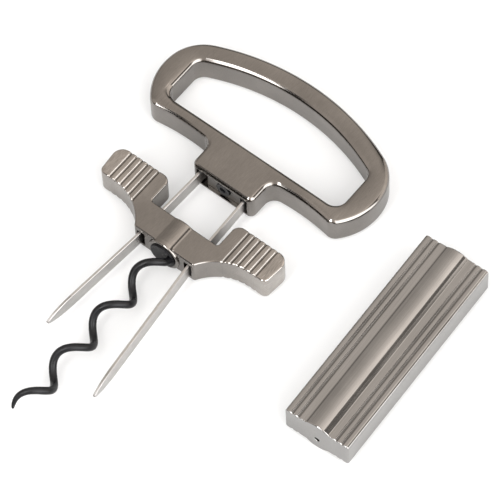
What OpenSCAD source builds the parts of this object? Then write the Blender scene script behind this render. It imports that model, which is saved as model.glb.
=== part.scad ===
// Two-prong cork puller with a sliding worm carriage, and the sheath that covers it.
// The puller lies flat, +Z up. +Y runs from the tips to the handle, +X to the long prong.
// The origin is on the flat underside of the boss, on the mirror plane. Millimetres.

/* [Handle] */
// Thickness of the handle casting
handle_t = 12.6; // [10:0.1:15]
// Radius of its rounded edges
edge_r = 1.8; // [1:0.1:2.2]
// End face of the boss to the crown of the handle
handle_len = 52; // [46:0.5:60]
// Radius of the far side
far_r = 95.5; // [85:0.5:110]
// Half angle of the far side's arc
far_half_a = 23.7; // [20:0.1:25]
// Radius of the outer shoulder
shoulder_r = 16.8; // [14:0.1:19]
// Angle at which the shoulder meets the side, above the cross axis
side_top_a = 11.7; // [8:0.1:20]
// Radius of the side
side_r = 22.5; // [20:0.1:26]
// Angle at which the side meets the foot, below the cross axis
side_foot_a = 43.3; // [40:0.1:46]
// Radius of the lower outer corner
foot_r = 4.2; // [3.4:0.1:5]
// Width of the ring at its crown
crown_w = 7.9; // [7:0.1:10]
// Width of the bar between opening and boss at its narrowest
bar_w = 4.9; // [4.4:0.1:6]
// Radius of the bar's hollow near edge
bar_r = 85; // [70:1:110]
// Mirror plane to the narrowest place of the bar
bar_x = 25; // [22:0.1:28]
// Half the width of the finger opening
grip_half_w = 39.1; // [34:0.1:39.5]
// Radius of the far side of the finger opening
grip_far_r = 88.8; // [80:0.1:100]
// Radius of the finger opening's corners
grip_corner_r = 4.5; // [3:0.1:7]

/* [Boss] */
// Width of the boss
boss_w = 27.2; // [26:0.1:30]
// Origin to the end face of the boss
boss_end = 7; // [6:0.1:8]
// Radius of the cove between the boss and the bar
cove_r = 4.2; // [3:0.1:5]
// Radius of the boss's corners, seen from above
boss_corner_r = 2.4; // [2.2:0.1:4]
// Width of the channel that takes the roots of the prongs
channel_w = 22.8; // [22:0.1:23.4]
// Depth of the channel
channel_depth = 4.2; // [4:0.1:4.6]
// Gap above and below a root in the channel
channel_gap = 1; // [0.6:0.1:1.2]

/* [Clamp] */
// Width of the clamp plate
plate_w = 14.8; // [12:0.1:16]
// Thickness of the clamp plate
plate_t = 2; // [1.6:0.1:2.2]
// Gap between the plate and the channel's walls
plate_gap = 0.1; // [0.05:0.05:0.3]
// Diameter of the screw's head
screw_head_d = 6; // [5:0.1:6.6]
// Thickness of the screw's head
screw_head_t = 1.5; // [1.2:0.1:1.8]
// Diameter of the screw's shank
screw_d = 3; // [2.5:0.1:3.4]
// Length of the shank
screw_len = 8.4; // [7:0.1:10]
// Width of the hexagonal socket in the screw's head, across its flats
socket_w = 2.4; // [1.8:0.1:2.6]
// Depth of that socket
socket_depth = 1; // [0.6:0.1:1.2]
// Radial gap round the screw
screw_gap = 0.05; // [0.02:0.01:0.1]

/* [Prongs] */
// Thickness of a blade
prong_t = 1; // [0.8:0.1:1.2]
// Height of a blade
prong_h = 6.4; // [5.5:0.1:7]
// Mirror plane to the middle of a blade, at the end face of the boss
prong_root_x = 9.9; // [9.6:0.1:10.1]
// Splay of a blade up to its bend, in degrees
root_splay = 1.9; // [1.5:0.1:2.3]
// Splay of the short prong beyond its bend
short_splay = 4.5; // [3:0.1:5.5]
// Splay of the long prong beyond its bend
long_splay = 5.8; // [3:0.1:6]
// End face of the boss to the bend
bend_reach = 33; // [32:0.5:34]
// Reach of the short prong from the end face of the boss
short_reach = 78.6; // [74:0.1:84]
// Reach of the long prong from the end face of the boss
long_reach = 91; // [85:0.5:95]
// Length of the pointed end of a blade
point_len = 12; // [8:0.5:16]
// Radius of the tip
tip_r = 0.6; // [0.4:0.1:0.9]
// Gap between the screw and the foot of a blade
foot_gap = 1; // [0.5:0.1:2]

/* [Carriage] */
// Gap between the boss and the carriage at rest
rest_gap = 20.6; // [16:0.1:22]
// Thickness of the wings
wing_t = 11.4; // [10:0.1:12]
// Length of the carriage along the prongs
carriage_len = 11.5; // [10:0.1:13]
// Mirror plane to the shoulder of a wing
shoulder_x = 15; // [14.6:0.1:16]
// Half the width across the wings
wing_half_w = 38.3; // [35:0.1:41]
// How far the wings rise above the far edge
wing_rise = 11.2; // [9:0.1:12]
// Length of a wing along the prongs
wing_len = 12.9; // [12:0.1:14]
// Slant of a wing's outer end
wing_end_a = 5; // [0:0.5:8]
// Radius of the wing's inner corner
wing_inner_r = 3.2; // [1:0.1:4]
// Radius of the wing's far outer corner
wing_far_r = 4.2; // [3:0.1:6]
// Radius of the wing's near outer corner
wing_near_r = 2.2; // [1:0.1:2.5]
// Radius of the curve below a wing
waist_r = 21.2; // [20:0.1:22]
// Mirror plane to the start of that curve
waist_x = 31; // [30.5:0.1:31.5]
// Number of grip grooves on each face of a wing
groove_n = 6; // [4:1:6]
// Distance between the grooves
groove_pitch = 2.5; // [2.2:0.1:2.6]
// Mirror plane to the innermost groove
groove_x = 20.5; // [20:0.1:21]
// Radius of a groove
groove_r = 0.8; // [0.6:0.05:1]
// Depth of a groove
groove_depth = 0.5; // [0.3:0.05:0.6]
// Mirror plane to the inner wall of a slot for a blade
slot_in_x = 8.9; // [8.6:0.1:9]
// Mirror plane to the outer wall of that slot
slot_out_x = 12.2; // [12.1:0.1:12.4]
// Gap above and below a blade in its slot
slot_gap = 0.4; // [0.3:0.1:1.2]

/* [Barrel and worm] */
// Radius of the barrel
barrel_r = 6.8; // [6.4:0.1:7.2]
// How far the barrel stands out of the near edge
barrel_proud = 0.8; // [0.4:0.1:1.5]
// Chamfer on the barrel's near end
barrel_chamfer = 0.6; // [0.3:0.1:0.8]
// Radius of the hub that holds the worm
hub_r = 5.4; // [5:0.1:5.6]
// Length of the hub inside the barrel
hub_len = 8; // [6:0.1:9]
// How far the hub stands out of the barrel
hub_proud = 0.6; // [0.3:0.1:1]
// Radial gap round the hub
hub_gap = 0.05; // [0.02:0.01:0.1]
// Radius of the worm's centre line
worm_r = 3.6; // [3:0.05:3.65]
// Diameter of the worm's wire
wire_d = 2.8; // [2.4:0.1:3]
// Advance of the worm in one turn
worm_pitch = 21.5; // [19:0.1:24]
// Reach of the worm from the end of the hub
worm_reach = 77.5; // [70:0.1:80]
// Length of the worm's straight root inside the hub
worm_root = 6; // [4:0.1:7]
// Angle at which the wire leaves the hub
worm_start_a = 15; // [-180:1:180]
// Length over which the wire narrows to its point
worm_point = 13; // [8:0.5:18]
// Radius of the worm's point
worm_tip_r = 0.25; // [0.15:0.05:0.4]

/* [Sheath] */
// Length of the sheath
sheath_len = 84.6; // [82:0.1:92]
// Width of the sheath
sheath_w = 26.5; // [26:0.1:30]
// Thickness of the sheath's flat sides
sheath_t = 11.8; // [11.4:0.1:12.6]
// Radius of its long edges
sheath_edge_r = 1.2; // [0.6:0.1:2]
// Radius of its central rib
rib_r = 7.5; // [7.2:0.1:8]
// Width of the cavity for the blades
cavity_w = 23.4; // [22:0.1:23.6]
// Height of the cavity for the blades
cavity_h = 7.6; // [7.2:0.1:8]
// Radius of the bore for the worm
cavity_r = 5.7; // [5.4:0.1:5.9]
// Thickness of the closed end
end_t = 2.4; // [1.6:0.1:4]
// Mirror plane of the sheath to its inner grooves
flute_in = 7.9; // [7.4:0.1:8.4]
// Mirror plane of the sheath to its outer grooves
flute_out = 10.4; // [10:0.1:11]
// Radius of those grooves
flute_r = 0.55; // [0.4:0.05:0.7]
// Diameter of the hole in the closed end
end_hole_d = 2.6; // [2:0.1:3]
// How far that hole is below the middle
end_hole_drop = 2; // [1:0.1:2.5]
// Middle of the closed end, to the side of the puller
sheath_x = 87.3; // [80:0.1:100]
// Middle of the closed end, along the puller
sheath_y = -63.5; // [-80:0.1:-40]
// Turn of the sheath
sheath_turn = 2.7; // [-10:0.1:10]

/* [Hidden] */
$fn = 64;
bleed = 1;
mid_z = handle_t / 2;
edge_steps = 4;
far_steps = 14;
shoulder_steps = 12;
side_steps = 10;
foot_steps = 8;
cove_steps = 6;
bar_steps = 6;
corner_steps = 5;
crown_y = handle_len - boss_end;
far_c = [0, crown_y - far_r];
shoulder_c = far_c + (far_r - shoulder_r) * [sin(far_half_a), cos(far_half_a)];
side_c = shoulder_c - (side_r - shoulder_r) * [cos(side_top_a), sin(side_top_a)];
foot_c = side_c + (side_r - foot_r) * [cos(side_foot_a), -sin(side_foot_a)];
bar_c = [bar_x, foot_c[1] - sqrt(pow(bar_r + foot_r, 2) - pow(foot_c[0] - bar_x, 2))];
bar_foot_a = atan2(foot_c[1] - bar_c[1], foot_c[0] - bar_x);
cove_x = boss_w / 2 + cove_r;
cove_c = [cove_x, bar_c[1] + sqrt(pow(bar_r - cove_r, 2) - pow(cove_x - bar_x, 2))];
bar_cove_a = atan2(cove_c[1] - bar_c[1], cove_x - bar_x);
chord_y = bar_c[1] + bar_r + bar_w;
grip_crown_y = crown_y - crown_w;
grip_c = [0, grip_crown_y - grip_far_r];
grip_cx = grip_half_w - grip_corner_r;
grip_cy = grip_c[1] + sqrt(pow(grip_far_r - grip_corner_r, 2) - pow(grip_cx, 2));
grip_join_a = atan2(grip_cy - grip_c[1], grip_cx);
grip_low_y = chord_y + grip_corner_r;
chord_x = [for (share = [0.2, 0.4, 0.5, 0.7]) boss_w * share];
channel_h = prong_h + 2 * channel_gap;
channel_y = channel_depth - boss_end;
plate_y = channel_y - prong_t;
bend_y = -boss_end - bend_reach;
bend_x = prong_root_x + bend_reach * tan(root_splay);
far_y = -boss_end - rest_gap;
near_y = far_y - carriage_len;
wing_far_y = far_y + wing_rise;
wing_near_y = wing_far_y - wing_len;
wing_far_c = [wing_half_w - wing_far_r, wing_far_y - wing_far_r];
wing_near_c_y = wing_near_y + wing_near_r;
wing_near_c_x = wing_far_c[0] + (wing_far_r - wing_near_r
  + (wing_near_c_y - wing_far_c[1]) * sin(wing_end_a)) / cos(wing_end_a);
slot_h = prong_h + 2 * slot_gap;
barrel_y = near_y - barrel_proud;
hub_y = barrel_y - hub_proud;
wire_r = wire_d / 2;
worm_ease = 0.8 * wire_d;
blade_taper = [[1, 1], [0.6, 0.86], [0.25, 0.5]];
tip_steps = 8;
worm_segments = 130;
wire_sides = 14;
tangent_step = 0.05;
floor_z = mid_z - barrel_r;
sheath_z = floor_z + rib_r;

// Points of an arc, from angle a0 to a1 in n steps, without the first few
function arc_points(c, r, a0, a1, n, skip = 0) =
  [for (i = [skip:n]) c + r * [cos(a0 + (a1 - a0) * i / n), sin(a0 + (a1 - a0) * i / n)]];

// Points of a straight line, from a to b in n steps, without the first few
function line_points(a, b, n, skip = 0) =
  [for (i = [skip:n]) a + (b - a) * i / n];

// Closed loop made of points on the +X side and their mirror image
function whole_loop(half) =
  concat(half, [for (i = [len(half) - 2:-1:1]) [-half[i][0], half[i][1]]]);

// Outer outline of the casting, moved inward by d
function outer_outline(d) = whole_loop(concat(
  [[0, d - boss_end]],
  arc_points([boss_w / 2 - boss_corner_r, boss_corner_r - boss_end], boss_corner_r - d,
    -90, 0, corner_steps),
  arc_points(cove_c, cove_r + d, 180, bar_cove_a, cove_steps),
  arc_points(bar_c, bar_r + d, bar_cove_a, bar_foot_a, bar_steps, 1),
  arc_points(foot_c, foot_r - d, bar_foot_a - 180, -side_foot_a, foot_steps, 1),
  arc_points(side_c, side_r - d, -side_foot_a, side_top_a, side_steps, 1),
  arc_points(shoulder_c, shoulder_r - d, side_top_a, 90 - far_half_a, shoulder_steps, 1),
  arc_points(far_c, far_r - d, 90 - far_half_a, 90, far_steps, 1)));

// Outline of the finger opening, moved into the material by d. Its points pair with the outer
// outline's: two stretches of the chord face the boss's corner and the cove
function grip_outline(d) = whole_loop(concat(
  [[0, chord_y - d]],
  line_points([chord_x[0], chord_y - d], [chord_x[1], chord_y - d], corner_steps),
  line_points([chord_x[2], chord_y - d], [chord_x[3], chord_y - d], cove_steps),
  line_points([chord_x[3], chord_y - d], [grip_cx, chord_y - d], bar_steps, 1),
  arc_points([grip_cx, grip_low_y], grip_corner_r + d, -90, 0, foot_steps, 1),
  line_points([grip_half_w + d, grip_low_y], [grip_half_w + d, grip_cy], side_steps, 1),
  arc_points([grip_cx, grip_cy], grip_corner_r + d, 0, grip_join_a, shoulder_steps, 1),
  arc_points(grip_c, grip_far_r + d, grip_join_a, 90, far_steps, 1)));

// A flat loop of points raised to a height
function raised(points, z) = [for (p = points) [p[0], p[1], z]];

// Two triangles for each cell of a grid of rings, with n points in a ring
function ring_faces(rings, n, closed) =
  [for (i = [0:(closed ? rings : rings - 1) - 1])
    for (j = [0:n - 1])
      let(
        a = i * n + j,
        b = i * n + (j + 1) % n,
        c = ((i + 1) % rings) * n + (j + 1) % n,
        d = ((i + 1) % rings) * n + j)
      each [[a, d, c], [a, c, b]]];

// Something drawn on the +X side, with its mirror image
module both_sides() {
  children();
  mirror([1, 0, 0])
    children();
}

// Rounded rectangle between two corners
module rounded_rect(x0, y0, x1, y1, r) {
  translate([x0 + r, y0])
    square([x1 - x0 - 2 * r, y1 - y0]);
  translate([x0, y0 + r])
    square([x1 - x0, y1 - y0 - 2 * r]);
  for (x = [x0 + r, x1 - r])
    for (y = [y0 + r, y1 - r])
      translate([x, y])
        circle(r = r);
}

// Cylinder along Y from y0 to y1
module y_cylinder(x, z, r, y0, y1) {
  translate([x, y1, z])
    rotate([90, 0, 0])
      cylinder(h = y1 - y0, r = r);
}

// Ring and boss as one shell with rounded edges
module handle_shell() {
  turns = [for (k = [0:edge_steps]) 90 * k / edge_steps];
  back = [for (k = [edge_steps:-1:0]) 90 * k / edge_steps];
  rings = concat(
    [for (a = turns) raised(outer_outline(edge_r * (1 - sin(a))), edge_r * (1 - cos(a)))],
    [for (a = back) raised(outer_outline(edge_r * (1 - sin(a))), handle_t - edge_r * (1 - cos(a)))],
    [for (a = turns) raised(grip_outline(edge_r * (1 - sin(a))), handle_t - edge_r * (1 - cos(a)))],
    [for (a = back) raised(grip_outline(edge_r * (1 - sin(a))), edge_r * (1 - cos(a)))]);
  polyhedron(
    points = [for (r = rings) each r],
    faces = ring_faces(len(rings), len(rings[0]), true),
    convexity = 10);
}

// Ring and boss in one casting, with the channel for the prongs
module handle() {
  color("dimgray")
    difference() {
      handle_shell();
      translate([-channel_w / 2, -boss_end - bleed, mid_z - channel_h / 2])
        cube([channel_w, channel_depth + bleed, channel_h]);
      y_cylinder(0, mid_z, screw_d / 2 + screw_gap, channel_y - bleed,
        plate_y - plate_t + screw_head_t / 2 + screw_len + screw_gap);
    }
}

// Plate that clamps the feet of the prongs in the channel
module clamp_plate() {
  color("gray")
    difference() {
      translate([-plate_w / 2, plate_y - plate_t, mid_z - channel_h / 2 + plate_gap])
        cube([plate_w, plate_t, channel_h - 2 * plate_gap]);
      y_cylinder(0, mid_z, screw_d / 2 + screw_gap, plate_y - plate_t - bleed, plate_y + bleed);
      y_cylinder(0, mid_z, screw_head_d / 2 + screw_gap, plate_y - plate_t - bleed,
        plate_y - plate_t + screw_head_t / 2);
    }
}

// Socket screw through the clamp plate
module clamp_screw() {
  seat_y = plate_y - plate_t + screw_head_t / 2;
  head_y = seat_y - screw_head_t;
  color("black")
    difference() {
      union() {
        y_cylinder(0, mid_z, screw_head_d / 2, head_y, seat_y);
        y_cylinder(0, mid_z, screw_d / 2, head_y + bleed, seat_y + screw_len);
      }
      translate([0, head_y + socket_depth, mid_z])
        rotate([90, 0, 0])
          cylinder(h = bleed + socket_depth, r = socket_w / sqrt(3), $fn = 6);
    }
}

// Blade on the +X side with an inward foot, bent where the carriage rides and pointed at its end
module prong(reach, splay) {
  half = prong_t / 2;
  tip_y = -boss_end - reach;
  tip_x = bend_x + (bend_y - tip_y) * tan(splay);
  root_x = prong_root_x - (boss_end + channel_y) * tan(root_splay);
  foot_x = screw_d / 2 + foot_gap;
  intersection() {
    linear_extrude(height = handle_t)
      polygon([
        [root_x + half, channel_y],
        [bend_x + half, bend_y],
        [tip_x + half, tip_y],
        [tip_x - half, tip_y],
        [bend_x - half, bend_y],
        [root_x - half + prong_t * tan(root_splay), channel_y - prong_t],
        [foot_x, channel_y - prong_t],
        [foot_x, channel_y]]);
    rotate([90, 0, 90])
      linear_extrude(height = tip_x + prong_t)
        prong_side(tip_y);
  }
}

// Side outline of a blade. The taper gives shares of the point's length and of half the height
module prong_side(tip_y) {
  half = prong_h / 2;
  upper = [for (t = blade_taper) [tip_y + t[0] * point_len, t[1] * half]];
  polygon(concat(
    [[channel_y, mid_z - half], [channel_y, mid_z + half]],
    [for (p = upper) [p[0], mid_z + p[1]]],
    arc_points([tip_y + tip_r, mid_z], tip_r, 90, 270, tip_steps),
    [for (i = [len(upper) - 1:-1:0]) [upper[i][0], mid_z - upper[i][1]]]));
}

module prong_short() {
  color("silver")
    mirror([1, 0, 0])
      prong(short_reach, short_splay);
}

module prong_long() {
  color("silver")
    prong(long_reach, long_splay);
}

// Outline of the carriage on the +X side
module carriage_outline() {
  translate([0, wing_near_y - bleed])
    square([shoulder_x, far_y - wing_near_y + bleed]);
  difference() {
    translate([0, near_y])
      square([waist_x, wing_near_y - near_y]);
    translate([waist_x, wing_near_y - waist_r])
      circle(r = waist_r, $fn = 128);
  }
  difference() {
    wing_blank();
    translate(wing_far_c)
      rotate(-wing_end_a)
        translate([wing_far_r, -2 * wing_len])
          square([wing_len, 4 * wing_len]);
  }
  translate([wing_near_c_x, wing_near_c_y])
    circle(r = wing_near_r);
}

// Wing with a square outer end
module wing_blank() {
  translate([shoulder_x, wing_near_y])
    square([wing_near_c_x - shoulder_x, wing_len - wing_inner_r]);
  translate([shoulder_x, wing_near_c_y])
    square([wing_half_w - shoulder_x, wing_far_c[1] - wing_near_c_y]);
  translate([shoulder_x + wing_inner_r, wing_near_y])
    square([wing_far_c[0] - shoulder_x - wing_inner_r, wing_len]);
  translate([shoulder_x + wing_inner_r, wing_far_y - wing_inner_r])
    circle(r = wing_inner_r);
  translate(wing_far_c)
    circle(r = wing_far_r);
}

// Wings and barrel in one casting, with slots for the blades and a bore for the hub
module carriage() {
  wing_z = mid_z - wing_t / 2;
  color("dimgray")
    difference() {
      union() {
        translate([0, 0, wing_z])
          both_sides()
            linear_extrude(height = wing_t)
              carriage_outline();
        y_cylinder(0, mid_z, barrel_r, barrel_y + barrel_chamfer, far_y);
        translate([0, barrel_y + barrel_chamfer, mid_z])
          rotate([90, 0, 0])
            cylinder(h = barrel_chamfer, r1 = barrel_r, r2 = barrel_r - barrel_chamfer);
      }
      both_sides() {
        translate([slot_in_x, near_y - bleed, mid_z - slot_h / 2])
          cube([slot_out_x - slot_in_x, carriage_len + 2 * bleed, slot_h]);
        for (i = [0:groove_n - 1])
          for (side = [-1, 1])
            y_cylinder(groove_x + i * groove_pitch,
              mid_z + side * (wing_t / 2 + groove_r - groove_depth),
              groove_r, near_y - bleed, wing_far_y + bleed);
      }
      y_cylinder(0, mid_z, hub_r + hub_gap, barrel_y - bleed, barrel_y + hub_len);
    }
}

// Plug in the barrel that holds the root of the worm
module worm_hub() {
  color("black")
    difference() {
      y_cylinder(0, mid_z, hub_r, hub_y, barrel_y + hub_len);
      y_cylinder(worm_r * cos(worm_start_a), mid_z + worm_r * sin(worm_start_a),
        wire_r + hub_gap, hub_y - bleed, hub_y + worm_root);
    }
}

// Angle of the wire at a distance s from the end of the hub. It turns only beyond the hub, gently
// at first
function worm_angle(s) =
  let(lead = max(0, s))
  worm_start_a + 360 / worm_pitch *
    (lead < worm_ease ? lead * lead / (2 * worm_ease) : lead - worm_ease / 2);

// Centre of the wire at a distance s from the end of the hub
function worm_point_at(s) =
  [worm_r * cos(worm_angle(s)), hub_y - s, mid_z + worm_r * sin(worm_angle(s))];

// Radius of the wire at a distance s from the end of the hub
function wire_r_at(s) =
  let(left = (worm_reach - s) / worm_point)
  left >= 1 ? wire_r : worm_tip_r + (wire_r - worm_tip_r) * sqrt(max(0, left) * (2 - max(0, left)));

function unit(v) = v / norm(v);

// Ring of points round the wire
function wire_ring(s) =
  let(
    p = worm_point_at(s),
    t = unit(worm_point_at(s + tangent_step) - worm_point_at(s - tangent_step)),
    a = worm_angle(s),
    n = unit(cross(t, cross([cos(a), 0, sin(a)], t))),
    b = cross(t, n))
  [for (i = [0:wire_sides - 1])
    p + wire_r_at(s) * (cos(360 * i / wire_sides) * n + sin(360 * i / wire_sides) * b)];

// Open helix that starts in the hub and narrows to a point
module worm() {
  steps = [for (i = [0:worm_segments]) -worm_root + (worm_reach + worm_root) * i / worm_segments];
  points = [for (s = steps) each wire_ring(s)];
  last = worm_segments * wire_sides;
  sides = ring_faces(worm_segments + 1, wire_sides, false);
  ends = [
    [for (j = [0:wire_sides - 1]) j],
    [for (j = [wire_sides - 1:-1:0]) last + j]];
  color("black")
    polyhedron(points = points, faces = concat(sides, ends), convexity = 10);
}

// Section of the sheath without its cavity
module sheath_section() {
  difference() {
    union() {
      rounded_rect(-sheath_w / 2, -sheath_t / 2, sheath_w / 2, sheath_t / 2, sheath_edge_r);
      circle(r = rib_r, $fn = 96);
    }
    for (x = [-flute_out, -flute_in, flute_in, flute_out])
      for (side = [-1, 1])
        translate([x, side * sheath_t / 2])
          circle(r = flute_r);
  }
}

// Case that slides over the prongs and the worm, closed at its near end
module sheath() {
  color("gray")
    translate([sheath_x, sheath_y, sheath_z])
      rotate([0, 0, sheath_turn])
        difference() {
          translate([0, sheath_len, 0])
            rotate([90, 0, 0])
              linear_extrude(height = sheath_len)
                sheath_section();
          translate([-cavity_w / 2, end_t, -cavity_h / 2])
            cube([cavity_w, sheath_len, cavity_h]);
          y_cylinder(0, 0, cavity_r, end_t, sheath_len + bleed);
          y_cylinder(0, -end_hole_drop, end_hole_d / 2, -bleed, end_t + bleed);
        }
}

handle();
clamp_plate();
clamp_screw();
prong_short();
prong_long();
carriage();
worm_hub();
worm();
sheath();
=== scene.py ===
"""Two-prong cork puller with its sheath: the dressed pieces, their finishes and a studio."""
import math

import bmesh
import bpy
import numpy as np
from bpy.props import FloatProperty, FloatVectorProperty, IntProperty, PointerProperty
from mathutils import Euler, Matrix, Vector
from mathutils.geometry import delaunay_2d_cdt


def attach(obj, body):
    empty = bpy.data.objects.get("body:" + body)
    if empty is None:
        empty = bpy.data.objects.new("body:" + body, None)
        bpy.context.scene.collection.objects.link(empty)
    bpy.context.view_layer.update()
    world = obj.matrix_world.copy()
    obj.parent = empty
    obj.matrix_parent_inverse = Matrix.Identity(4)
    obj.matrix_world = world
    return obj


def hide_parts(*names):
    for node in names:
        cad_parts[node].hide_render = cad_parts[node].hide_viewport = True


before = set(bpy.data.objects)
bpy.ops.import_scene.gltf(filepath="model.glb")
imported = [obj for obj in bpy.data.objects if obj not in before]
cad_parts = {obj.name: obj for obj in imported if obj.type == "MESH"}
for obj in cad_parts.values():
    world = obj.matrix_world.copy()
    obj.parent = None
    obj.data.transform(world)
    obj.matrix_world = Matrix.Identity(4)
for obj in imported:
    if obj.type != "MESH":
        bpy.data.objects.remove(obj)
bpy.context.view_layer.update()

bl_info = {
    "name": "Two-prong cork puller",
    "version": (1, 0, 0),
    "blender": (4, 5, 0),
    "location": "3D View > Sidebar > Cork puller",
    "description": "Builds a two-prong cork puller and its sheath, piece by piece",
    "category": "Object",
}


# Values that several pieces and finishes share

QUARTER = math.pi / 2
CUTTER_MARGIN = 0.001          # metres that a cutter reaches past the metal
MERGE = 1e-6                   # metres within which points are one
ARC_STEPS = 7                  # steps in a radian of an arc of 1 mm radius
PATCH_COSINE = 0.99998         # least cosine between two faces of one flat patch
PATCH_AREA = 20e-6             # square metres from which a flat patch counts as a face
FULL_BEND = math.radians(12)   # bend at a point that counts as a whole edge
BUMP_DEPTH = 0.0001            # metres of the finest marks in a finish
NOISE_RANGE = (0.3, 0.7)       # where nearly all values of a noise lie
WHITE = (1.0, 1.0, 1.0, 1.0)


# Sizes and colours that a user may change

def length(name, description, millimetres):
    return FloatProperty(name=name, description=description, default=millimetres / 1000,
                         unit="LENGTH", precision=5)


def angle(name, description, degrees):
    return FloatProperty(name=name, description=description, default=math.radians(degrees),
                         unit="ROTATION", subtype="ANGLE")


def colour(name, description, rgb):
    return FloatVectorProperty(name=name, description=description, default=(*rgb, 1.0), size=4,
                               min=0.0, max=1.0, subtype="COLOR")


def number(name, description, value):
    return FloatProperty(name=name, description=description, default=value, min=0.0)

def position(name, description, metres):
    return FloatVectorProperty(name=name, description=description, default=metres, size=3,
                               subtype="XYZ", unit="LENGTH")


class CorkHandleSizes(bpy.types.PropertyGroup):
    thickness: length("Thickness", "Thickness of the ring and the boss", 12.6)
    edge: length("Edge", "Radius of the rounded edges", 1.8)
    reach: length("Length", "End face of the boss to the crown of the ring", 52)
    far_r: length("Far side", "Radius of the far side", 95.5)
    far_half: angle("Far half angle", "Half angle of the far side's arc", 23.7)
    shoulder_r: length("Shoulder", "Radius of the outer shoulder", 16.8)
    side_top: angle("Side top", "Angle at which shoulder and side meet", 11.7)
    side_r: length("Side", "Radius of the side", 22.5)
    side_foot: angle("Side foot", "Angle at which side and foot meet", 43.3)
    foot_r: length("Foot", "Radius of the lower outer corner", 4.2)
    crown: length("Crown", "Width of the ring at its crown", 7.9)
    bar: length("Bar", "Width of the bar at its narrowest", 4.9)
    bar_r: length("Bar hollow", "Radius of the bar's hollow near edge", 85)
    bar_x: length("Bar waist", "Mirror plane to the narrowest place of the bar", 25)
    crown_slope: angle("Crown slope", "Slope of the ring's upper face at its edges", 7)
    grip_half: length("Opening", "Half the width of the finger opening", 39.1)
    grip_far_r: length("Opening's far side", "Radius of the opening's far side", 88.8)
    grip_corner_r: length("Opening's corners", "Radius of the opening's corners", 4.5)
    boss_w: length("Boss", "Width of the boss", 27.2)
    boss_end: length("Boss end", "Origin to the end face of the boss", 7)
    cove_r: length("Cove", "Radius between the boss and the bar", 4.2)
    boss_corner_r: length("Boss corner", "Radius of the boss's corners", 2.4)
    channel_w: length("Channel width", "Width of the channel for the prongs", 22.8)
    channel_depth: length("Channel depth", "Depth of the channel", 4.2)
    channel_h: length("Channel height", "Height of the channel", 8.4)
    screw_bore: length("Screw bore", "Radius of the bore for the screw", 1.55)
    screw_bore_end: length("Bore end", "Where the bore ends", 3.4)


class CorkProngSizes(bpy.types.PropertyGroup):
    thickness: length("Thickness", "Thickness of a blade", 1)
    height: length("Height", "Height of a blade", 6.4)
    root_x: length("Root", "Mirror plane to the middle of a blade at the boss", 9.9)
    root_splay: angle("Root splay", "Splay up to the bend", 1.9)
    short_splay: angle("Short splay", "Splay of the short prong past its bend", 4.5)
    long_splay: angle("Long splay", "Splay of the long prong past its bend", 5.8)
    bend: length("Bend", "End face of the boss to the bend", 33)
    short_reach: length("Short reach", "Reach of the short prong", 78.6)
    long_reach: length("Long reach", "Reach of the long prong", 91)
    point: length("Point", "Length of the pointed end", 12)
    tip_r: length("Tip", "Radius of the tip", 0.6)
    edge: length("Edge", "Chamfer along the blade", 0.12)
    foot_x: length("Foot", "Where the inward foot ends", 2.5)


class CorkCarriageSizes(bpy.types.PropertyGroup):
    thickness: length("Thickness", "Thickness of the wings", 11.4)
    far_y: length("Far edge", "Far edge of the block", -27.6)
    near_y: length("Near edge", "Near edge of the block", -39.1)
    shoulder_x: length("Shoulder", "Inner side of a wing", 15)
    wing_half: length("Wings", "Half the width across the wings", 38.3)
    wing_far_y: length("Wing far edge", "Far edge of the wings", -16.4)
    wing_near_y: length("Wing near edge", "Near edge of the wings", -29.3)
    wing_slant: angle("Slant", "Slant of a wing's outer end", 5)
    waist_r: length("Waist", "Radius of the curve below a wing", 21.2)
    waist_x: length("Waist start", "Mirror plane to the start of that curve", 31)
    inner_r: length("Inner corner", "Radius of a wing's inner corner", 3.2)
    far_r: length("Far corner", "Radius of a wing's far outer corner", 4.2)
    near_r: length("Near corner", "Radius of a wing's near outer corner", 2.2)
    top_edge: length("Top edge", "Radius of the upper edges", 0.7)
    low_edge: length("Low edge", "Radius of the lower edges", 1.1)
    grooves: IntProperty(name="Grooves", description="Grooves on each face of a wing", default=6, min=1)
    groove_pitch: length("Pitch", "Distance between grooves", 2.5)
    groove_x: length("First groove", "Mirror plane to the innermost groove", 20.5)
    groove_r: length("Groove", "Radius of a groove", 0.8)
    groove_depth: length("Groove depth", "Depth of a groove", 0.5)
    slot_in: length("Slot inner wall", "Mirror plane to a slot's inner wall", 8.9)
    slot_out: length("Slot outer wall", "Mirror plane to a slot's outer wall", 12.2)
    slot_h: length("Slot height", "Height of a slot", 7.2)
    barrel_r: length("Barrel", "Radius of the barrel", 6.8)
    barrel_y: length("Barrel end", "Near end of the barrel", -39.9)
    barrel_edge: length("Barrel edge", "Rounding of the barrel's near end", 0.6)
    hub_r: length("Hub", "Radius of the hub", 5.4)
    hub_len: length("Hub length", "Length of the hub inside the barrel", 8)


class CorkWormSizes(bpy.types.PropertyGroup):
    centre_r: length("Helix", "Radius of the centre line", 3.6)
    wire: length("Wire", "Diameter of the wire", 2.8)
    pitch: length("Pitch", "Advance in one turn", 21.5)
    reach: length("Reach", "Reach from the end of the hub", 77.5)
    root: length("Root", "Length inside the hub", 6)
    start: angle("Start", "Angle at which the wire leaves the hub", 15)
    point: length("Point", "Length over which the wire narrows", 13)
    tip: length("Tip", "Radius at the point", 0.25)
    hub_y: length("Hub end", "Near face of the hub", -40.5)
    centre_z: length("Height", "Height of the worm's axis", 6.3)


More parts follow.
